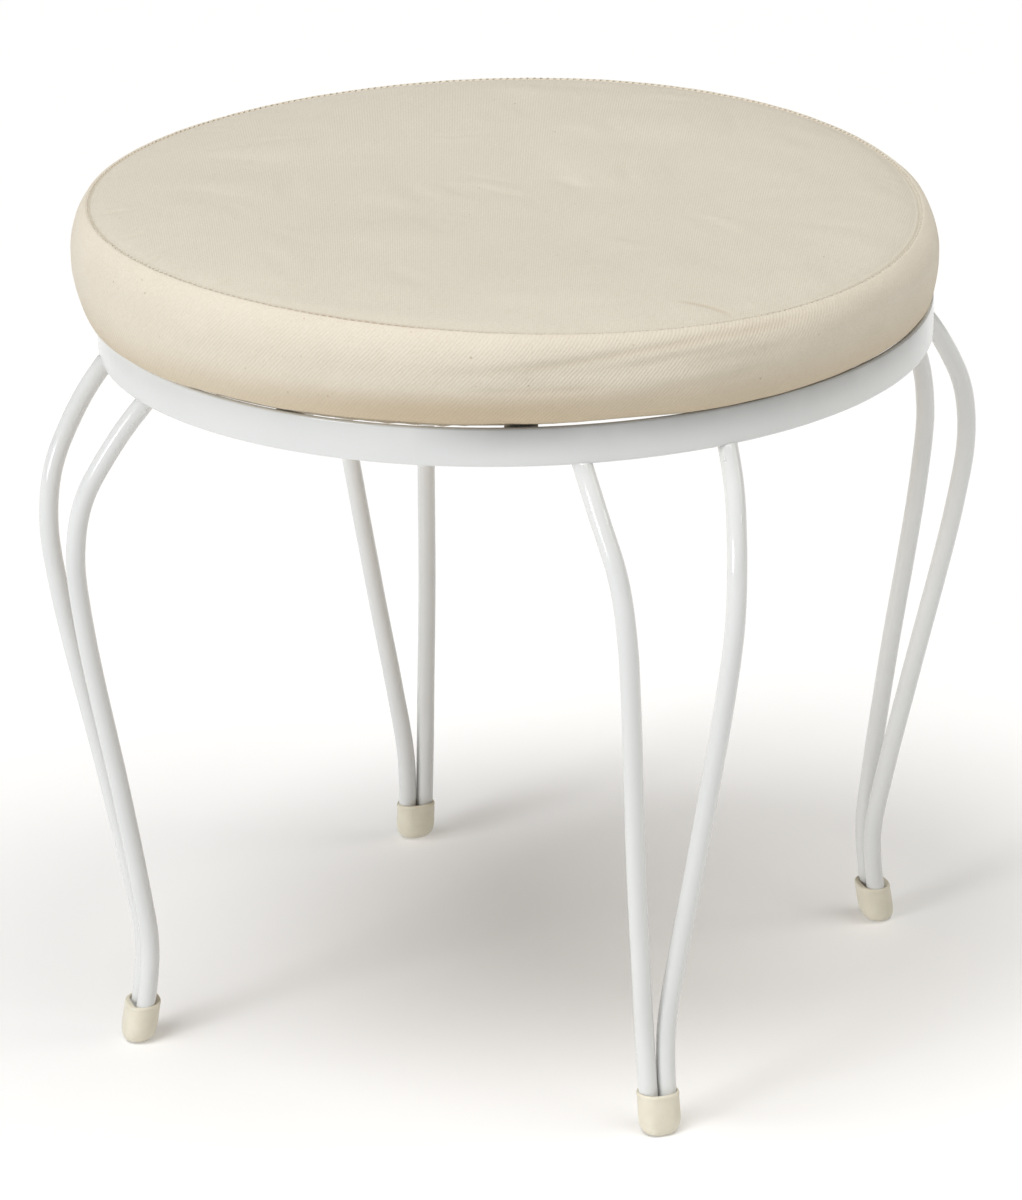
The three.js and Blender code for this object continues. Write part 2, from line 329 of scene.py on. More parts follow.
def fabric_tone(g, pale, deep, seed_turn, specks_at, u, v):
    """Unbleached cotton: cloudy tone, thick and thin yarns, seed specks, and painted shade and tint from the
    mesh.
    """
    color = g.blend(g.noise(45 * MM, 3), deep, pale)
    slubs = g.noise(1.0, 3, g.stretched(900, 70, 900, (0, 0, seed_turn)))
    color = g.blend(g.ramp(slubs, 0.35, 0.75, 0.0, 0.22), color, (0.60, 0.53, 0.42))
    grain = g.noise(0.9 * MM, 2)
    color = g.blend(g.ramp(grain, 0.3, 0.7, 0.0, 0.22), color, (0.92, 0.89, 0.82))
    specks = g.ramp(g.noise(2.2 * MM, 1, rough=0.4), 0.79, 0.82)
    color = g.blend(g.times(specks, 0.45), color, (0.33, 0.23, 0.13))
    for spot_u, spot_v, size in specks_at:
        off_u, off_v = g.add(u, -spot_u), g.add(v, -spot_v)
        apart = g.math("POWER", g.add(g.times(off_u, off_u), g.times(off_v, off_v)), 0.5)
        color = g.blend(g.ramp(apart, size * 0.4, size * 1.2, 0.6, 0.0), color, (0.30, 0.20, 0.11))
    # Painted shade in the creases and the seam's groove, and a darker, browner tint at the front of the
    # lower edge, as stored on the mesh.
    painted_shade_and_tint = g.node("ShaderNodeAttribute", attribute_name="painted_shade_and_tint").outputs["Fac"]
    return g.blend(painted_shade_and_tint, color, (0.43, 0.29, 0.155))


def cotton_top():
    """The top panel: fine ribs of the weave run across it, front to back."""
    g = Graph("cotton_top_panel")
    turn = radians(27)
    x, y, _ = g.split()
    specks = [(u * MM, v * MM, size * MM) for u, v, size in TOP_SPECKS]
    color = fabric_tone(g, (0.708, 0.657, 0.553), (0.66, 0.604, 0.498), turn, specks, x, y)
    across = g.add(g.times(x, cos(turn)), g.times(y, sin(turn)))
    along = g.add(g.times(y, cos(turn)), g.times(x, -sin(turn)))
    ribs = g.waves(across, 0.85 * MM)
    picks = g.waves(along, 0.6 * MM)
    weave = g.add(g.times(ribs, 0.6), g.times(g.times(ribs, picks), 0.4))
    height = g.add(g.times(weave, 0.5), g.noise(1.4 * MM, 3))
    color = g.blend(g.ramp(weave, -1, 1, 0.05, 0.0), color, (0.42, 0.37, 0.29))
    return g.finish_cloth(color, weave, height, 0.10 * MM)


def cotton_side():
    """The side band: twill lines climb it on the slant, more worn low down, with a warm painted shade near
    the hoop.
    """
    g = Graph("cotton_side_band")
    around, z = g.around()
    specks = [(radians(u) * HOOP_RADIUS, v * MM, size * MM) for u, v, size in SIDE_SPECKS]
    color = fabric_tone(g, (0.76, 0.69, 0.575), (0.71, 0.63, 0.51), 0.3, specks, around, z)
    slant = g.add(g.times(around, 0.72), g.times(z, -0.69))
    wander = g.times(g.noise(6 * MM, 2), 0.9 * MM)
    twill = g.waves(g.add(slant, wander), 1.5 * MM)
    picks = g.waves(around, 0.7 * MM)
    weave = g.add(g.times(twill, 0.75), g.times(picks, 0.2))
    height = g.add(g.times(weave, 0.5), g.noise(1.3 * MM, 3))
    worn = g.ramp(g.noise(22 * MM, 3), 0.3, 0.7, 0.05, 0.20)
    worn = g.times(worn, g.ramp(z, WIDE_HEIGHT, SEAM_MEAN - 4 * MM, 1.0, 0.3))
    color = g.blend(g.times(g.ramp(weave, -1, 1, 1.0, 0.0), worn), color, (0.40, 0.34, 0.26))
    # Painted shade: a warm, darker tan towards the bottom of the band, just above the hoop.
    low = g.ramp(z, HOOP_TOP + 1 * MM, HOOP_TOP + 26 * MM, 1.0, 0.0)
    color = g.blend(g.times(g.math("POWER", low, 1.4), 0.55), color, (0.53, 0.415, 0.25))
    return g.finish_cloth(color, weave, height, 0.13 * MM)


def cotton_thread():
    """Pale sewing thread, with its twist."""
    g = Graph("cotton_thread")
    around, z = g.around()
    twist = g.waves(g.add(around, z), 0.5 * MM)
    color = g.blend(g.ramp(twist, -1, 1), (0.66, 0.59, 0.47), (0.86, 0.82, 0.73))
    return g.finish(color, g.ramp(twist, -1, 1, 0.9, 0.7), g.bump(twist, 0.08 * MM))


def zinc_steel():
    """Dull zinc plate with a faint blue and straw cast, and fine brushed lines."""
    g = Graph("zinc_steel")
    cast = g.noise(3 * MM, 2)
    color = g.blend(cast, (0.64, 0.67, 0.71), (0.76, 0.74, 0.68))
    lines = g.noise(1.0, 3, g.stretched(2500, 2500, 200))
    return g.finish(color, g.ramp(lines, 0.2, 0.8, 0.22, 0.45), g.bump(lines, 0.02 * MM), Metallic=0.5)


def birch_plywood():
    """Rotary-cut birch: long wandering figure, fine pores, and a few pale patches."""
    g = Graph("birch_plywood")
    warped = g.add(g.times(g.split()[1], 6.0), g.times(g.noise(90 * MM, 3, g.stretched(0.25, 1, 1)), 1.5))
    figure = g.noise(1.0, 4, g.stretched(5, 70, 70))
    rings = g.math("SINE", g.times(g.add(warped, g.times(figure, 0.35)), 26.0))
    color = g.blend(g.ramp(rings, -1, 1), (0.52, 0.365, 0.21), (0.68, 0.52, 0.335))
    pores = g.ramp(g.noise(1.0, 3, g.stretched(60, 1500, 1500)), 0.55, 0.72)
    color = g.blend(g.times(pores, 0.45), color, (0.33, 0.21, 0.11))
    height = g.add(g.times(pores, -0.7), g.times(figure, 0.5))
    return g.finish(color, g.ramp(figure, 0.3, 0.7, 0.62, 0.8), g.bump(height, 0.1 * MM))


def bright_staple():
    g = Graph("staple_wire")
    lines = g.noise(1.0, 2, g.stretched(3000, 3000, 3000))
    color = g.blend(lines, (0.42, 0.43, 0.44), (0.60, 0.60, 0.60))
    return g.finish(color, g.ramp(lines, 0.2, 0.8, 0.3, 0.5), Metallic=0.5)


# ---- The hoop ----
def hoop_outline():
    """The bar's section as (radius, height): four rolled corners, and points up and down its two faces."""
    edge = 1.0 * MM
    low, high = HOOP_BOTTOM + edge, HOOP_TOP - edge
    inner = HOOP_RADIUS - BAR_THICKNESS
    climb = np.linspace(low, high, 15)[1:-1]

    def corner(radius, height, start):
        angles = [radians(start + 22.5 * step) for step in range(5)]
        return [(radius + edge * cos(angle), height + edge * sin(angle)) for angle in angles]

    return (corner(HOOP_RADIUS - edge, low, -90) + [(HOOP_RADIUS, height) for height in climb]
            + corner(HOOP_RADIUS - edge, high, 0) + corner(inner + edge, high, 90)
            + [(inner, height) for height in climb[::-1]] + corner(inner + edge, low, 180))


def make_hoop(paint):
    """The flat bar under a paint film that gathers a little along its lower edge."""
    columns = 288
    outline = hoop_outline()
    points = []
    for radius, height in outline:
        outward = 1 if radius > HOOP_RADIUS - BAR_THICKNESS / 2 else -1
        low = float(faded(HOOP_BOTTOM + 4 * MM - height, 0, 3 * MM))
        for turn in ring_turns(columns):
            place = radial(turn) * radius + Vector((0, 0, height))
            film = 0.05 * MM * smooth_noise(place, 14 * MM)
            film += 0.10 * MM * low * smooth_noise(place, 7 * MM, 5)
            points.append(place + radial(turn) * (film - 0.08 * MM) * outward)
    faces = flipped(ring_faces(len(outline), columns, closed=True))
    hoop = add_mesh("painted_hoop", points, faces, paint)
    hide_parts("hoop_band")


# ---- The legs ----
def ring_centres(node, sides=12):
    """Centres of the rings that a CAD rod was swept through, from its foot up."""
    corners = sorted({tuple(round(c, 7) for c in v.co) for v in nodes[node].data.vertices},
                     key=lambda c: c[2])
    rings = [corners[i:i + sides] for i in range(0, len(corners), sides)]
    return np.array([np.mean(ring, axis=0) for ring in rings])


def smooth_path(points, steps):
    """Catmull-Rom points through the given ones, with steps between each pair."""
    padded = np.vstack([2 * points[0] - points[1], points, 2 * points[-1] - points[-2]])
    path = []
    for i in range(1, len(padded) - 2):
        a, b, c, d = padded[i - 1:i + 3]
        for step in range(steps):
            t = step / steps
            path.append(0.5 * (2 * b + (c - a) * t + (2 * a - 5 * b + 4 * c - d) * t ** 2
                               + (3 * b - a - 3 * c + d) * t ** 3))
    path.append(points[-1])
    return np.array(path)


def swept_tube(path, radius_at, sides):
    """Rings of points round a path, which keep their turn from one to the next."""
    tangents = np.gradient(path, axis=0)
    tangents /= np.linalg.norm(tangents, axis=1)[:, None]
    side = np.cross(tangents[0], (0, 0, 1.0))
    if np.linalg.norm(side) < 1e-3:
        side = np.array((1.0, 0, 0))
    rows = []
    for i, (centre, tangent) in enumerate(zip(path, tangents)):
        side = side - tangent * side.dot(tangent)
        side /= np.linalg.norm(side)
        other = np.cross(tangent, side)
        for turn in ring_turns(sides):
            out = side * cos(turn) + other * sin(turn)
            rows.append(centre + out * radius_at(i, turn, centre + out * ROD_RADIUS))
    return np.array(rows)


def rod_path(leg, side):
    """A rod's middle line. It bends in a little at its top, to end near the hoop's outer face."""
    path = smooth_path(ring_centres(f"leg_rod_{leg}_{side}"), 4)
    bend, proud = 30 * MM, 0.5 * MM
    last = path[-1] - path[-2]
    outermost = np.hypot(*path[-1][:2]) + ROD_RADIUS * np.linalg.norm(last) / last[2]
    share = np.clip((path[:, 2] - ROD_TOP) / bend + 1, 0, 1)
    tuck = (outermost - HOOP_RADIUS - proud) * share ** 2
    path[:, :2] *= (1 - tuck / np.hypot(path[:, 0], path[:, 1]))[:, None]
    return path


def make_rod(leg, side, paint):
    """One rod: a smooth round bar under brushed paint, cut level under the hoop. Paint and weld round its
    top off against the hoop. Returns the ring of points at the cut."""
    path = rod_path(leg, side)
    path = path[path[:, 2] < ROD_TOP - 5 * MM]
    sides = 28
    seed = 11 * LEGS.index(leg) + (5 if side == "a" else 0)

    def radius_at(_, turn, place):
        return ROD_RADIUS + 0.045 * MM * smooth_noise(place, 9 * MM, seed)

    points = swept_tube(path, radius_at, sides)
    along = path[-1] - path[-2]
    cut = points[-sides:] + along * ((ROD_TOP - points[-sides:, 2]) / along[2])[:, None]
    middle = cut.mean(axis=0)
    shoulder = [middle + (cut - middle) * share + along * (rise * MM / along[2])
                for share, rise in ((0.985, 0.45), (0.93, 0.8), (0.8, 0.95))]
    points = np.vstack([points, cut, *shoulder])
    rows = len(path) + 1 + len(shoulder)
    rod = add_mesh(f"round_rod_{leg}_{side}", points, tube_faces(rows, sides), paint)
    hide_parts(f"leg_rod_{leg}_{side}")
    return cut


# ---- Foot tips ----
TIP_HALF_WIDTH = 10.7 * MM
TIP_HALF_DEPTH = 8.75 * MM
SOCKET_RADIUS = ROD_RADIUS + 0.25 * MM
SOCKET_HALF = 4.95 * MM          # from the socket's middle to the middle of each rod in it
# From the bottom's middle, up the outside and down the socket: share of the outer size, height in mm, and
# how far the section has turned into the socket's.
TIP_OUTLINE = (
    (0.0, 0.0, 0), (0.30, 0.0, 0), (0.52, 0.0, 0), (0.66, 0.25, 0), (0.78, 0.95, 0), (0.88, 2.2, 0),
    (0.95, 4.0, 0), (0.985, 6.2, 0), (1.0, 9.0, 0), (0.998, 12.0, 0), (0.995, 15.0, 0), (0.99, 17.0, 0),
    (0.98, 18.3, 0), (1.0, 19.0, 0), (1.005, 19.8, 0), (0.98, 20.6, 0), (0.93, 20.95, 0), (0.88, 20.8, 0.35),
    (0.86, 20.3, 0.75), (0.86, 19.4, 1), (0.86, 16.0, 1), (0.86, 10.0, 1), (0.86, 4.3, 1),
)


def tip_section(turn, share, inward):
    """A point outward and along. The outside is a round stretched sideways; the socket is two rods' own."""
    stretch = max(-1.0, min(1.0, 3 * sin(turn)))
    outer_side = (TIP_HALF_WIDTH - TIP_HALF_DEPTH) * stretch + TIP_HALF_DEPTH * sin(turn)
    outer = np.array((TIP_HALF_DEPTH * cos(turn), outer_side)) * share
    socket_side = SOCKET_HALF * stretch + SOCKET_RADIUS * sin(turn)
    return outer * (1 - inward) + np.array((SOCKET_RADIUS * cos(turn), socket_side)) * inward


def make_tip(leg, vinyl):
    """A dipped vinyl cup over both rod ends, with a rolled lip and a rounded, worn bottom."""
    node = f"foot_tip_{leg}"
    corners = np.array([v.co for v in nodes[node].data.vertices])
    height = corners[:, 2].max()
    ends = [corners[np.abs(corners[:, 2] - level) < 0.1 * MM] for level in (0, height)]
    foot, head = [(end.min(axis=0) + end.max(axis=0)) / 2 for end in ends]
    outward = Vector((foot[0], foot[1], 0)).normalized()
    along = Vector((-outward.y, outward.x, 0))
    seed = 3.0 + LEGS.index(leg)
    columns = 56
    rings = []
    for share, rise, inward in TIP_OUTLINE:
        ring = []
        for turn in ring_turns(columns):
            flat = tip_section(turn, share, inward)
            slant = 0.55 * sin(turn + seed) * faded(rise, 12, 20)
            z = (rise + slant) * MM
            centre = foot + (head - foot) * (z / height)
            place = Vector((centre[0], centre[1], 0)) + outward * flat[0] + along * flat[1]
            place.z = max(0.0, z)
            swell = 0.16 * MM * smooth_noise(place, 6 * MM, seed) * (1 - inward) * faded(rise, 1, 4)
            ring.append(place + (outward * cos(turn) + along * sin(turn)) * float(swell))
        rings.append(ring)
    count = len(rings) - 1
    points = [rings[0][0]] + sum(rings[1:], []) + [sum(rings[-1], Vector()) / columns]
    faces = flipped(fan(0, 1, columns) + ring_faces(count, columns, start=1))
    faces += fan(len(points) - 1, 1 + (count - 1) * columns, columns)
    tip = add_mesh(f"vinyl_tip_{leg}", points, faces, vinyl)
    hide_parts(node)


# ---- Cushion shape ----
# Creases of the top panel, in mm: a path of points (x, y), then the width, depth, lift of the cloth beside
# it, and how much painted shade darkens its dip.
TOP_CREASES = (
    (((144, -113), (152, -110.5), (160, -109), (168, -108.5), (176, -110)), 1.2, 0.35, 0.0, 0.32),
    (((-17, -9), (-6, -14.5), (23, -19.5)), 4.0, 0.45, 0.5, 0.0),
    (((18, 19), (30, 13), (42, 6)), 5.0, 0.65, 0.6, 0.0),
    (((-104, -180), (-97, -166)), 1.8, 0.45, 0.5, 0.06),
    (((-57, -196), (-49, -184)), 2.0, 0.35, 0.5, 0.06),
    (((-134, -154), (-121, -143)), 2.2, 0.45, 0.5, 0.06),
    (((-163, -121), (-149, -111)), 2.4, 0.45, 0.5, 0.06),
)
# Creases of the side band, the same, with a path of points (turn in degrees, height).
SIDE_CREASES = (
    (((-76, 405), (-61, 407), (-49, 411), (-37, 413), (-27, 412), (-15, 410)), 2.0, 0.6, 0.1, 0.16),
    (((-72, 399), (-52, 404), (-30, 406), (-14, 403)), 6.5, 0.9, 0.0, 0.0),
    (((-71, 397.5), (-62, 396.5), (-49, 396)), 1.7, 0.62, 0.5, 0.13),
    (((-63.3, 405.3), (-60, 401.4), (-57.5, 398)), 1.3, 0.55, 0.7, 0.0),
    (((-65, 402.5), (-61, 398.5)), 1.3, 0.40, 0.7, 0.0),
    (((-48, 391.5), (-38, 392.5), (-27, 394.5)), 2.4, 0.50, 0.4, 0.06),
    (((-45, 400), (-34, 401.5), (-23, 401)), 2.6, 0.48, 0.4, 0.06),
    (((-52, 403.5), (-42, 406), (-31, 406.5)), 2.2, 0.42, 0.5, 0.05),
    (((52, 404), (78, 408), (104, 405)), 2.4, 0.7, 0.5, 0.08),
    (((139, 399), (158, 402), (176, 400)), 2.4, 0.6, 0.5, 0.08),
)


def seam_offset(turn, share=1.0):
    """How far the worn seat is above or below its mean level."""
    return (-SAG * share * np.cos(turn - LOW_SIDE)
            - SAG_OVAL * share ** 2 * np.cos(2 * (turn - LOW_SIDE)))


def top_height(radius, turn):
    share = radius / SEAM_RADIUS
    return SEAM_MEAN + seam_offset(turn, share) + CROWN * (1 - share ** CROWN_POWER)


def lower_edge(turn):
    """Radius and height of the lower edge. It wavers, and where the cushion has drifted away from the hoop
    it spreads and dips just inside."""
    place = radial(turn) * EDGE_RADIUS
    dip = float(faded(cos(turn - radians(20)), 0.30, 0.70))
    waver = 0.35 * MM * smooth_noise(place, 30 * MM, 3)
    gap = float(near_turn(turn, -88, 20))
    return EDGE_RADIUS + 3.0 * MM * dip, EDGE_HEIGHT + waver - 1.6 * MM * dip + 1.1 * MM * gap


def side_point(drop, turn):
    """Radius and height on the side. Drop is 0 at the seam, 1 at the widest part and 2 at the lower edge."""
    offset = seam_offset(turn)
    wide = WIDE_HEIGHT + 0.5 * offset
    seam = SEAM_MEAN + offset
    if drop <= 1:
        angle = pi / 2 * drop
        return (SEAM_RADIUS + (WIDE_RADIUS - SEAM_RADIUS) * sin(angle),
                wide + (seam - wide) * cos(angle))
    angle = pi / 2 * (drop - 1)
    bulge = 2 / 2.3
    edge_radius, edge_height = lower_edge(turn)
    return (edge_radius + (WIDE_RADIUS - edge_radius) * cos(angle) ** bulge,
            wide - (wide - edge_height) * sin(angle) ** bulge)


def square_disc(grid):
    """A unit disc made from a square grid, its edge points in turn order, and its faces."""
    steps = np.linspace(-1, 1, grid + 1)
    a, b = np.meshgrid(steps, steps, indexing="ij")
    wide = np.abs(a) > np.abs(b)
    radius = np.where(wide, a, b)
    safe = np.where(radius == 0, 1, radius)
    turn = np.where(wide, pi / 4 * b / safe, pi / 2 - pi / 4 * a / safe)
    points = np.stack([(radius * np.cos(turn)).ravel(), (radius * np.sin(turn)).ravel()], axis=1)
    edge = [i * (grid + 1) + j for i in range(grid + 1) for j in range(grid + 1)
            if i in (0, grid) or j in (0, grid)]
    edge.sort(key=lambda n: atan2(points[n, 1], points[n, 0]))
    corners = [i * (grid + 1) + j for i in range(grid) for j in range(grid)]
    return points, edge, [(c, c + grid + 1, c + grid + 2, c + 1) for c in corners]


def cushion_form(columns, collar, drops, under):
    """The cushion as rows of points: a gridded disc, rings out to the seam, rings down the side, and the
    underside's rings as (radius, height). Returns points, each point's drop, and faces."""
    disc, edge, faces = square_disc(columns // 4)
    turns = np.array([atan2(disc[n, 1], disc[n, 0]) for n in edge])
    flat = disc * (SEAM_RADIUS - COLLAR)
    points = [(x, y, top_height(hypot(x, y), atan2(y, x))) for x, y in flat]
    first = len(points)
    rings = [[(SEAM_RADIUS - d, top_height(SEAM_RADIUS - d, t)) for t in turns] for d in collar]
    rings += [[side_point(drop, t) for t in turns] for drop in drops]
    rings += [[ring] * columns for ring in under]
    for ring in rings:
        points += [(r * cos(t), r * sin(t), z) for (r, z), t in zip(ring, turns)]
    faces += [(edge[k], first + k, first + (k + 1) % columns, edge[(k + 1) % columns])
              for k in range(columns)]
    faces += ring_faces(len(rings), columns, start=first)
    points.append((0, 0, under[-1][1]))
    faces += flipped(fan(len(points) - 1, first + (len(rings) - 1) * columns, columns))
    row_drops = [ON_TOP] * (len(collar) - 1) + [0.0] + list(drops) + [UNDERNEATH] * len(under)
    levels = np.concatenate([np.full(first, ON_TOP), np.repeat(row_drops, columns), [UNDERNEATH]])
    return np.array(points), levels, faces


# ---- The cover's uneven tension, by cloth simulation ----
SIM_COLUMNS = 280
SIM_DROPS = np.linspace(0.14, 2.0, 14)
SIM_FRAMES = 20
SIM_CAP = 10 * MM                   # the furthest that a point may have moved
TOP_SWELL, SIDE_SWELL = 0.4, 0.6    # how much of the simulated swelling the firm foam lets show


def cover_trial():
    """A coarse closed copy of the cushion, held at its seam and hem, and slacker in some places."""
    under = [(r * MM, EDGE_HEIGHT - 2 * MM) for r in (200, 150, 90, 30)]
    points, levels, faces = cushion_form(SIM_COLUMNS, (2.5 * MM, 0.0), SIM_DROPS, under)
    trial = placed("cover_trial", new_mesh("cover_trial", points, faces))
    held = [i for i, level in enumerate(levels) if level == 0 or level >= SIM_DROPS[-1]]
    trial.vertex_groups.new(name="held").add(held, 1.0, "REPLACE")
    slack = trial.vertex_groups.new(name="slack")
    for i, point in enumerate(points):
        slack.add([i], min(1.0, max(0.0, 0.5 + 0.8 * smooth_noise(point, 30 * MM, 4))), "REPLACE")
    cloth = trial.modifiers.new("Cloth", "CLOTH")
    set_all(cloth.settings, {
        "quality": 4, "tension_stiffness": 12, "compression_stiffness": 12, "bending_stiffness": 0.4,
        "use_pressure": True, "uniform_pressure_force": 4, "vertex_group_mass": "held",
        "vertex_group_shrink": "slack", "shrink_min": -0.012, "shrink_max": 0.012,
    })
    cloth.settings.effector_weights.gravity = 0
    cloth.point_cache.frame_end = SIM_FRAMES
    return trial, points


def simulated_swell():
    """How far the cover's disc and side rows swell out from their mean shape, as two arrays."""
    grid = SIM_COLUMNS // 4 + 1
    trial, start = cover_trial()
    scene = bpy.context.scene
    for number in range(1, SIM_FRAMES + 1):
        scene.frame_set(number)
    swollen = trial.evaluated_get(bpy.context.evaluated_depsgraph_get()).data
    moves = np.array([v.co for v in swollen.vertices]) - start
    lengths = np.maximum(np.linalg.norm(moves, axis=1), 1e-9)
    moves *= np.minimum(1, SIM_CAP / lengths)[:, None]
    bpy.data.objects.remove(trial)
    scene.frame_set(1)
    disc = moves[:grid * grid, 2]
    reach = np.hypot(start[:grid * grid, 0], start[:grid * grid, 1])
    disc = disc - np.polyval(np.polyfit(reach ** 2, disc, 5), reach ** 2)
    seam = grid * grid + SIM_COLUMNS
    count = (len(SIM_DROPS) + 1) * SIM_COLUMNS
    outward = start[seam:seam + count, :2] / np.linalg.norm(start[seam:seam + count, :2], axis=1)[:, None]
    side = (moves[seam:seam + count, :2] * outward).sum(axis=1).reshape(-1, SIM_COLUMNS)
    side = side - side.mean(axis=1)[:, None]
    return disc.reshape(grid, grid) * TOP_SWELL, side * SIDE_SWELL


def spread_swell(points, levels):
    """The simulated swelling, read off for each point of the finished cushion."""
    disc, side = simulated_swell()
    swell = np.zeros(len(points))
    x, y = points[:, 0], points[:, 1]
    reach, turn = np.hypot(x, y), np.arctan2(y, x)
    # The disc's grid is found again from each point's reach and turn.
    quarter = np.round(turn / (pi / 2))
    lean = (turn - quarter * pi / 2) / (pi / 4)
    share = np.minimum(reach / (SEAM_RADIUS - COLLAR), 1)
    sign = np.where(quarter % 4 >= 2, -1, 1)
    across = (quarter % 2 == 0)
    a = np.where(across, sign * share, -sign * share * lean)
    b = np.where(across, sign * share * lean, sign * share)
    top = levels == ON_TOP
    size = disc.shape[0] - 1
    swell[top] = bilinear(disc, (a[top] + 1) / 2 * size, (b[top] + 1) / 2 * size)
    swell[top] *= faded(SEAM_RADIUS - reach[top], 0, 12 * MM)
    beside = (levels >= 0) & (levels <= 2)
    rows = np.interp(levels[beside], [0, *SIM_DROPS], range(len(SIM_DROPS) + 1))
    columns = (turn[beside] / tau + 0.5) * SIM_COLUMNS
    wrapped = np.hstack([side, side[:, :2]])
    swell[beside] = bilinear(wrapped, rows, columns)
    return swell


def bilinear(table, rows, columns):
    row = np.clip(np.floor(rows).astype(int), 0, table.shape[0] - 2)
    column = np.clip(np.floor(columns).astype(int), 0, table.shape[1] - 2)
    down, over = rows - row, columns - column
    upper = table[row, column] * (1 - over) + table[row, column + 1] * over
    lower = table[row + 1, column] * (1 - over) + table[row + 1, column + 1] * over
    return upper * (1 - down) + lower * down


# ---- Creases, seam and hem ----
def crease_height(u, v, path, width, depth, lift, crease_shade):
    """A crease: a dip along a path, beside cloth that is lifted a little, both fading at the path's ends.
    Returns the height, and how much painted shade darkens the cloth."""
    path = np.array(path, dtype=float)
    lengths = np.linalg.norm(np.diff(path, axis=0), axis=1)
    nearest = np.full(u.shape, 1e9)
    across = np.zeros(u.shape)
    share = np.zeros(u.shape)
    passed = 0
    for start, end, length in zip(path[:-1], path[1:], lengths):
        du, dv = (end - start) / length
        along = np.clip((u - start[0]) * du + (v - start[1]) * dv, 0, length)
        off_u, off_v = u - start[0] - along * du, v - start[1] - along * dv
        distance = np.hypot(off_u, off_v)
        closer = distance < nearest
        nearest = np.where(closer, distance, nearest)
        across = np.where(closer, np.sign(off_v * du - off_u * dv) * distance, across)
        share = np.where(closer, (passed + along) / lengths.sum(), share)
        passed += length
    ends = faded(share, 0, 0.3) * faded(1 - share, 0, 0.3)
    d = across / width
    dip = np.exp(-d * d) * ends
    # The dip is darkened with painted shade.
    return depth * MM * (lift * ends * np.exp(-(d - 1.5) ** 2) - dip), crease_shade * dip


def field_noise(points, size, seed):
    return np.array([smooth_noise(p, size, seed) for p in points])


def seam_distance(points, levels):
    """Along the cloth from the seam, on either side of it."""
    reach = np.hypot(points[:, 0], points[:, 1])
    return np.where(levels == ON_TOP, SEAM_RADIUS - reach, np.clip(levels, 0, 2) * SHOULDER)


def surface_detail(points, levels):
    """How far each point stands out from the plain form: waves, creases, puckers, and the seam's groove.
    Also how much painted shade and tint it takes there."""
    x, y, z = (points / MM).T
    turn = np.arctan2(y, x)
    top, beside = levels == ON_TOP, (levels >= 0) & (levels <= 2)
    away = seam_distance(points, levels) / MM
    height = np.zeros(len(points))
    height[top] = (0.55 * field_noise(points[top], 100 * MM, 1)
                   + 0.14 * field_noise(points[top], 32 * MM, 2)) * MM
    height[beside] = (0.40 * field_noise(points[beside], 60 * MM, 3)
                      + 0.12 * field_noise(points[beside], 17 * MM, 4)) * MM
    height *= faded(away, 0, 10)
    painted_shade_and_tint = np.zeros(len(points))
    widest = WIDE_RADIUS / MM
    kinds = ((top, x, y, TOP_CREASES, 1), (beside, turn * widest, z, SIDE_CREASES, radians(1) * widest))
    for where, u, v, creases, unit in kinds:
        for path, *shape in creases:
            rise, crease_shade = crease_height(u[where], v[where], [(a * unit, b) for a, b in path], *shape)
            height[where] += rise
            painted_shade_and_tint[where] += crease_shade
    # The lower edge is tinted darker and browner at the front.
    low_front_tint = 0.45 * near_turn(turn, -70, 28) * faded(-z, -399, -386)
    painted_shade_and_tint[beside] += low_front_tint[beside]
    # Puckers run away from the seam, more where the band was eased in at the left.
    ring = circle(turn, SEAM_RADIUS)
    pucker = field_noise(ring, 8 * MM, 6)
    eased = near_turn(turn, -133, 22)
    reach = np.where(top, 6.0, 4.5)
    height += pucker * (0.16 + 0.40 * eased) * MM * np.exp(-away / reach) * (levels <= 2)
    # The top panel rolls down to the seam, and a small ridge of doubled cloth stands beside it.
    height[top] -= 1.1 * MM * np.clip(1 - away[top] / 9, 0, 1) ** 2
    height[top] += 0.40 * MM * np.exp(-((away[top] - 1.3) / 0.7) ** 2)
    height[beside] += 0.30 * MM * np.exp(-((away[beside] - 2.6) / 1.6) ** 2)
    # The seam is strained open, and its groove darkened with painted shade, at the front more than
    # elsewhere.
    strained = 0.05 + 0.62 * near_turn(turn, -84, 19)
    strained += 0.12 * np.clip(field_noise(ring, 70 * MM, 11), 0, 1)
    # At the right it lies shallow, and its thread shows.
    shallow = 1 - 0.5 * near_turn(turn, 0, 34)
    height -= (0.65 + 0.5 * strained) * shallow * MM * np.exp(-(away / 0.85) ** 2) * (levels <= 2)
    # Painted shade darkens the seam's groove.
    painted_shade_and_tint += strained * np.exp(-(away / 1.1) ** 2) * (levels <= 2)
    below = ~(top | beside)
    height[below] = hem_pleats(points[below])
    return height, np.clip(painted_shade_and_tint, 0, 0.9)


def hem_pleats(points):
    """Small folds in the turned-under cloth. It lies flat where it is stapled and over the tabs."""
    x, y, z = points.T
    turn, reach = np.arctan2(y, x), np.hypot(x, y)
    folds = np.maximum(0, field_noise(circle(turn, HEM_RING), 7 * MM, 9) + 0.1)
    flat = faded(reach, 186 * MM, 193 * MM) * faded(206 * MM - reach, 0, 6 * MM) * (z < 376 * MM)
    for tab in TAB_TURNS:
        apart = np.abs(turn_from(tab, turn)) * HEM_RING
        flat = flat * faded(apart, 12 * MM, 20 * MM)
    return 1.3 * MM * folds * flat


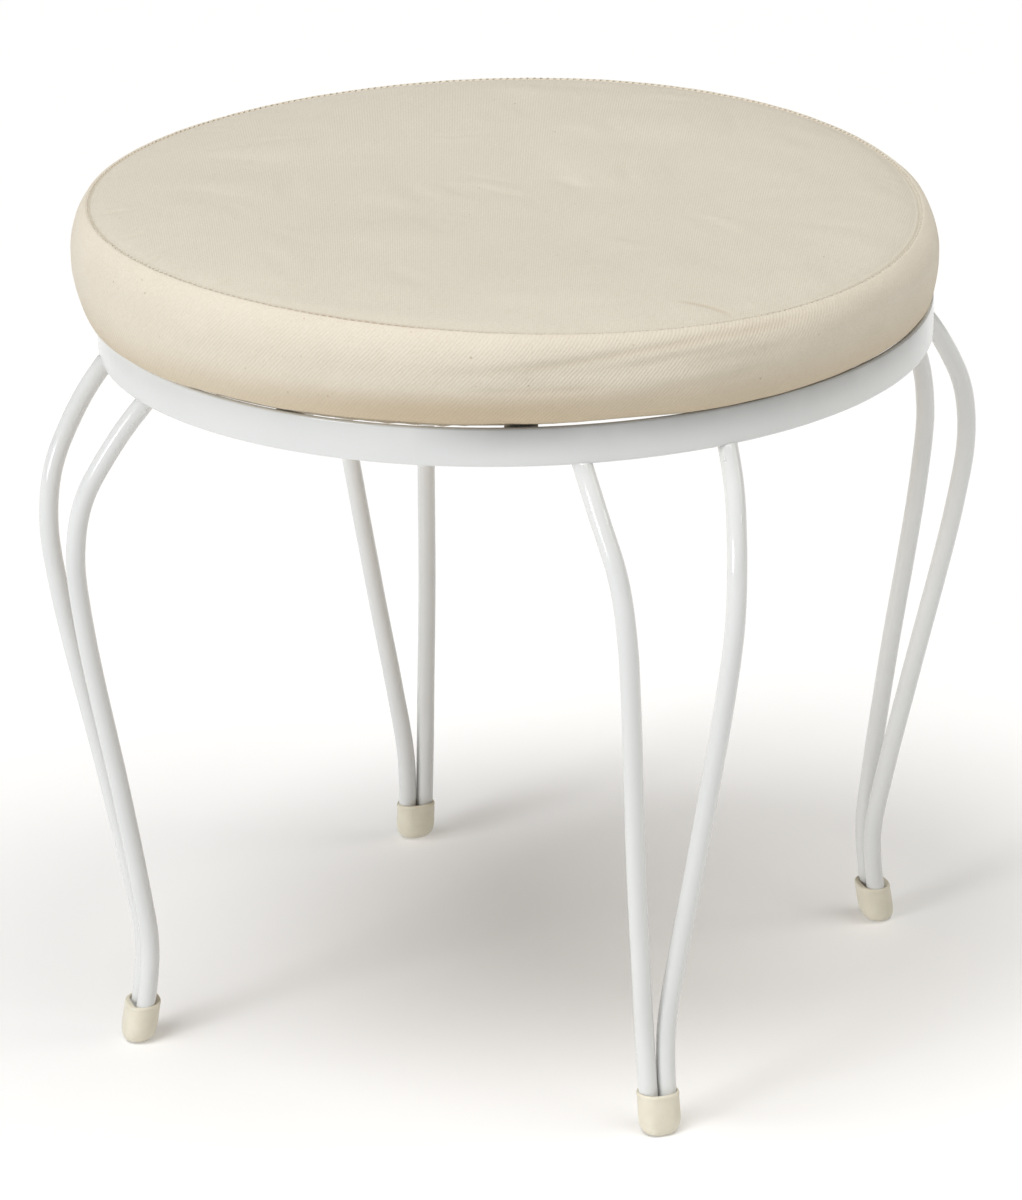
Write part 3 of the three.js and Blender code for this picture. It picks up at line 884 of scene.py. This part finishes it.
def under_rings():
    """The hem turned under the board, then the hollow that the board fills."""
    hem = [
        (203.8, 375.7), (200.8, 374.8), (197.8, 374.1), (194.8, 373.55), (191.5, 373.3), (188, 373.3),
        (184.5, 373.3), (181, 373.3), (178.6, 373.3), (177.9, 373.5), (177.8, 373.95), (178.2, 374.4),
        (180, 374.5), (187, 374.5), (193.2, 374.5),
    ]
    gap = 0.35 * MM
    hollow = [
        (BOARD_RADIUS - 0.8 * MM, board_low.z + 0.6 * MM),
        (BOARD_RADIUS + gap, board_low.z + 3 * MM),
        (BOARD_RADIUS + gap, board_high.z - 3 * MM),
        (BOARD_RADIUS - 1.5 * MM, board_high.z + gap),
        (BOARD_RADIUS - 40 * MM, board_high.z + gap),
        (30 * MM, board_high.z + gap),
    ]
    return [(r * MM, z * MM) for r, z in hem] + hollow


def make_cushion(top, side):
    """The finished cushion: a crowned closed form, hollow below for the board that it is stapled to.
    Returns it, and the line of its seam."""
    collar = [c * MM for c in (4.2, 3.4, 2.7, 2.1, 1.6, 1.2, 0.8, 0.4, 0.0)]
    drops = [0.02, 0.045, 0.08, 0.12, 0.17, 0.23, 0.3, 0.38] + list(np.linspace(0.46, 2.0, 28))
    points, levels, faces = cushion_form(COLUMNS, collar, drops, under_rings())
    cushion = add_mesh("seat_cushion", points, faces, top)
    mesh = cushion.data
    normals = np.zeros(len(points) * 3)
    mesh.vertices.foreach_get("normal", normals)
    height, painted_shade_and_tint = surface_detail(points, levels)
    out = height + spread_swell(points, levels)
    points = points + normals.reshape(-1, 3) * out[:, None] + DRIFT
    mesh.vertices.foreach_set("co", points.ravel())
    mesh.attributes.new("painted_shade_and_tint", "FLOAT", "POINT").data.foreach_set("value", painted_shade_and_tint)
    mesh.materials.append(side)
    below = [int(min(levels[i] for i in polygon.vertices) >= 0) for polygon in mesh.polygons]
    mesh.polygons.foreach_set("material_index", below)
    mesh.update()
    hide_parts("cover_top_panel", "cover_side_band", "foam_pad")
    return cushion, points[levels == 0]


def make_stitches(seam, thread):
    """Thread that shows where each stitch bridges the seam's groove."""
    length, spacing, thickness = 1.7 * MM, 3.6 * MM, 0.36 * MM
    loop = np.vstack([seam, seam[:1]])
    passed = np.concatenate([[0], np.cumsum(np.linalg.norm(np.diff(loop, axis=0), axis=1))])
    count = round(passed[-1] / spacing)
    profile = ((-1.0, 0.3), (-0.85, 0.75), (-0.4, 1.0), (0.4, 1.0), (0.85, 0.75), (1.0, 0.3))
    sides = 6
    points, faces = [], []

    def at(distance):
        return path_at(loop, passed, distance % passed[-1])

    for number in range(count):
        middle = number * passed[-1] / count
        centre = at(middle)
        tangent = at(middle + length) - at(middle - length)
        tangent /= np.linalg.norm(tangent)
        outward = np.array((centre[0], centre[1], 0)) / hypot(centre[0], centre[1])
        outward = (outward + (0, 0, 0.9)) / hypot(1, 0.9)
        climb = np.cross(outward, tangent)
        axis = tangent + climb * (0.28 + 0.15 * sin(2.4 * number))
        axis /= np.linalg.norm(axis)
        other = np.cross(axis, outward)
        start = len(points)
        for along, width in profile:
            lift = (0.98 - 0.45 * along ** 2) * MM
            place = centre + axis * along * length / 2 + outward * lift
            reach = thickness * width
            for turn in ring_turns(sides):
                points.append(place + reach * (outward * cos(turn) + other * sin(turn)))
        faces += tube_faces(len(profile), sides, start)
    add_mesh("seam_stitches", points, faces, thread)


# ---- Welds and drops of paint ----
# Each drop: leg, rod, mm under the hoop, the way it faces in degrees, and its width and length in mm.
PAINT_DROPS = (
    ("front_right", "b", 7.5, -91, 2.2, 3.2),
    ("front_right", "b", 54, -92, 0.9, 1.1),
    ("front_right", "b", 32, -38, 1.1, 5.0),
    ("front_right", "a", 24, -20, 1.5, 9.0),
    ("front_left", "b", 10, -42, 0.9, 1.0),
    ("front_left", "b", 3.5, -25, 1.8, 2.4),
    ("front_left", "a", 40, -120, 1.2, 6.0),
    ("rear_left", "a", 14, 150, 1.6, 4.0),
    ("rear_right", "b", 9, 40, 1.8, 3.0),
)


def rod_place(leg, side, height):
    """The middle of a rod at a height, and the way that it runs there."""
    path = rod_path(leg, side)
    middle, above = [path_at(path, path[:, 2], level) for level in (height, height + 5 * MM)]
    return Vector(middle), Vector(above - middle).normalized()


def make_drops(paint):
    """Runs and nibs where the brushed paint dried on the rods."""
    dome = ((1.0, -0.15), (0.9, 0.12), (0.68, 0.38), (0.4, 0.52), (0.0, 0.58))
    columns = 14
    points, faces = [], []
    for leg, side, below, turn, width, length in PAINT_DROPS:
        middle, along = rod_place(leg, side, HOOP_BOTTOM - below * MM)
        outward = radial(radians(turn))
        outward = (outward - along * outward.dot(along)).normalized()
        across = along.cross(outward)
        start = len(points)
        for share, rise in dome[:-1]:
            for angle in ring_turns(columns):
                slim = 0.75 if sin(angle) > 0 else 1.0
                swing = share * width * MM / 2 * cos(angle) * slim
                bend = ROD_RADIUS - sqrt(ROD_RADIUS ** 2 - swing ** 2)
                reach = ROD_RADIUS - bend + rise * 0.4 * width * MM
                points.append(middle + outward * reach + across * swing
                              + along * (share * length * MM / 2 * sin(angle)))
        points.append(middle + outward * (ROD_RADIUS + dome[-1][1] * 0.4 * width * MM))
        faces += flipped(ring_faces(len(dome) - 1, columns, start=start))
        faces += fan(len(points) - 1, start + (len(dome) - 2) * columns, columns)
        faces.append(tuple(reversed(range(start, start + columns))))
    add_mesh("paint_drops", points, faces, paint)


def make_welds(tops, paint):
    """A lumpy bead round the inner side of each rod's top, where it meets the hoop."""
    sides = 10
    points, faces = [], []
    for number, top in enumerate(tops):
        middle = top.mean(axis=0)
        inward = atan2(-middle[1], -middle[0])
        turns = np.arctan2(top[:, 1] - middle[1], top[:, 0] - middle[0])
        apart = turn_from(inward, turns)
        arc = top[np.argsort(apart)][np.abs(np.sort(apart)) < radians(80)]
        path = smooth_path(arc + (0, 0, -0.5 * MM), 2)

        def bead(i, _, place, rows=len(path), seed=number * 3.7):
            taper = sin(pi * (i + 0.7) / (rows + 0.4)) ** 0.5
            return (1.3 * MM + 0.45 * MM * smooth_noise(place, 2.6 * MM, seed)) * taper

        start = len(points)
        points.extend(swept_tube(path, bead, sides))
        faces += tube_faces(len(path), sides, start)
    add_mesh("hoop_welds", points, faces, paint)


# ---- Seat hardware ----
def driver_cross(x, y, head_radius):
    """Depth of the driver's cross at a point of the head. It narrows as it goes in."""
    arms = []
    for one, other in ((x, y), (y, x)):
        width = float(faded(0.75 * MM - abs(one), 0, 0.3 * MM))
        arms.append(width * float(faded(2.5 * MM - abs(other), 0, 0.5 * MM)))
    return 1.5 * MM * max(arms) * (1 - 0.3 * hypot(x, y) / head_radius)


def make_screw(node, zinc):
    """A cross-recessed pan-head screw, driven up through its tab into the board."""
    low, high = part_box(node)
    middle = middle_of(node)
    head_radius, shank_radius, pitch = 4.0 * MM, 1.95 * MM, 1.6 * MM
    seat = low.z + 2.6 * MM
    spin = 400 * (middle.x * 37 + middle.y * 19)
    turns = ring_turns(60)
    points = [(middle.x, middle.y, low.z + driver_cross(0, 0, head_radius))]

    def add_ring(reach_at, height_at):
        for turn in turns:
            place = radial(turn + spin) * reach_at(turn)
            points.append((middle.x + place.x, middle.y + place.y, height_at(turn)))

    for step in range(1, 21):
        share = step / 20

        def dished(turn):
            x, y, _ = radial(turn) * share * head_radius
            return low.z + 0.95 * MM * share ** 4 + driver_cross(x, y, head_radius)

        add_ring(lambda _: share * head_radius, dished)
    add_ring(lambda _: head_radius, lambda _: seat - 0.15 * MM)
    add_ring(lambda _: 0.96 * head_radius, lambda _: seat)
    height = seat
    while height < high.z - 0.1 * MM:
        point = 1 - float(faded(height, high.z - 4 * MM, high.z))

        def thread(turn):
            phase = (height / pitch - turn / tau) % 1.0
            return (shank_radius - 0.5 * MM * abs(2 * phase - 1) ** 0.7) * (0.12 + 0.88 * point)

        add_ring(thread, lambda _: height)
        height += 0.2 * MM
    rings = (len(points) - 1) // len(turns)
    faces = flipped(fan(0, 1, len(turns)) + ring_faces(rings, len(turns), start=1))
    faces.append(tuple(range(len(points) - len(turns), len(points))))
    screw = add_mesh(node.replace("seat_screw", "pan_head_screw"), points, faces, zinc)
    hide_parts(node)


def make_staples(wire):
    """Staples that hold the turned-under cloth to the board, a little askew, with gaps at the tabs."""
    count, ring, crown, thickness = 48, 183 * MM, 9.5 * MM, 0.55 * MM
    half = ((0.9, -0.2), (0.97, -0.12), (1, 0.1), (1, 0.9))
    shape = [(-across, up) for across, up in reversed(half)] + list(half)
    sides = 8
    points, faces = [], []
    for number in range(count):
        turn = tau * (number + 0.5) / count + 0.012 * sin(5.1 * number)
        if min(abs(turn_from(tab, turn)) for tab in TAB_TURNS) * ring < 15 * MM:
            continue
        centre = radial(turn) * (ring + 1.2 * MM * sin(2.7 * number))
        lean = turn + pi / 2 + 0.16 * sin(3.3 * number)
        path = np.array([centre + radial(lean) * (across * crown / 2) + Vector((0, 0, HEM_LEVEL + up * MM))
                         for across, up in shape])
        start = len(points)
        points.extend(swept_tube(path, lambda *_: thickness, sides))
        faces += tube_faces(len(shape), sides, start)
    add_mesh("hem_staples", points, faces, wire)


def soften_edges(piece, width):
    """Rounds the edges of a CAD part without touching its mesh."""
    modifiers = (
        ("WELD", {"merge_threshold": 0.01 * MM}),
        ("BEVEL", {"width": width, "segments": 2, "limit_method": "ANGLE", "angle_limit": radians(50)}),
        ("WEIGHTED_NORMAL", {"keep_sharp": False}),
    )
    for kind, settings in modifiers:
        set_all(piece.modifiers.new(kind.title(), kind), settings)


# ---- Setting ----
VIEW_TURN = radians(26.671)
VIEW_RISE = radians(20.852)
VIEW_DISTANCE = 2.6756
VIEW_ROLL = radians(-1.31)


def make_camera():
    """Looks from the front right, a little above the seat, from far off."""
    target = radial(VIEW_TURN) * -5.48 * MM + Vector((0, 0, 210.96 * MM))
    back = direction(VIEW_TURN, VIEW_RISE)
    data = bpy.data.cameras.new("camera")
    data.sensor_width = 36
    data.lens = 156.2
    camera = placed("camera", data)
    camera.location = target + back * VIEW_DISTANCE
    turn = (-back).to_track_quat("-Z", "Y").to_matrix() @ Matrix.Rotation(VIEW_ROLL, 3, "Z")
    camera.rotation_euler = turn.to_euler()
    bpy.context.scene.camera = camera


def make_floor():
    """A wide pale floor just under the tips."""
    g = Graph("pale_floor")
    color = g.blend(g.noise(400 * MM, 2), (0.81, 0.81, 0.81), (0.83, 0.83, 0.83))
    reach = 12.0
    corners = [(x * reach, y * reach, -0.1 * MM) for x, y in ((-1, -1), (1, -1), (1, 1), (-1, 1))]
    mesh = new_mesh("floor", corners, [(0, 1, 2, 3)])
    mesh.materials.append(g.finish(color, 0.8, Emission_Color=(1, 1, 1, 1), Emission_Strength=0.2))
    placed("floor", mesh)


def make_light(name, turn, rise, width, strength, color=(1, 1, 1)):
    """A far soft lamp, width degrees across. Turn is from the camera's side, positive to its right."""
    back = direction(VIEW_TURN + radians(turn), radians(rise))
    data = bpy.data.lights.new(name, "SUN")
    data.energy = strength
    data.angle = radians(width)
    data.color = color
    light = placed(name, data)
    light.location = back * 3
    light.rotation_euler = back.to_track_quat("Z", "Y").to_euler()


def make_studio():
    """A pale, even world, and four lamps fitted to the photo's shading."""
    world = bpy.data.worlds.new("studio")
    world.use_nodes = True
    background = world.node_tree.nodes["Background"].inputs
    background["Color"].default_value = (1.0, 1.0, 1.0, 1)
    background["Strength"].default_value = 0.15
    bpy.context.scene.world = world
    bpy.context.scene.view_settings.view_transform = "Standard"
    make_light("over_left", -50, 70, 28, 1.55)
    make_light("over_right", 60, 70, 28, 0.88, (1.0, 0.98, 0.94))
    make_light("key", -50, 15, 20, 1.15, (0.97, 0.99, 1.0))
    make_light("fill", 90, 32, 26, 0.32, (1.0, 0.96, 0.86))


paint = white_paint()
vinyl = cream_vinyl()
make_hoop(paint)
rod_tops = []
for leg_name in LEGS:
    rod_tops.append(make_rod(leg_name, "a", paint))
    rod_tops.append(make_rod(leg_name, "b", paint))
    make_tip(leg_name, vinyl)
make_welds(rod_tops, paint)
make_drops(paint)
cushion, seam_line = make_cushion(cotton_top(), cotton_side())
make_stitches(seam_line, cotton_thread())

zinc = zinc_steel()
make_staples(bright_staple())
shown_parts = (("seat_tab", paint, 0.5 * MM), ("seat_washer", zinc, 0.2 * MM),
               ("seat_board", birch_plywood(), 0.4 * MM))
for node_name, piece in nodes.items():
    if node_name.startswith("seat_screw"):
        make_screw(node_name, zinc)
    for start, material, width in shown_parts:
        if node_name.startswith(start):
            piece.data.materials[0] = material
            soften_edges(piece, width)

make_camera()
make_floor()
make_studio()
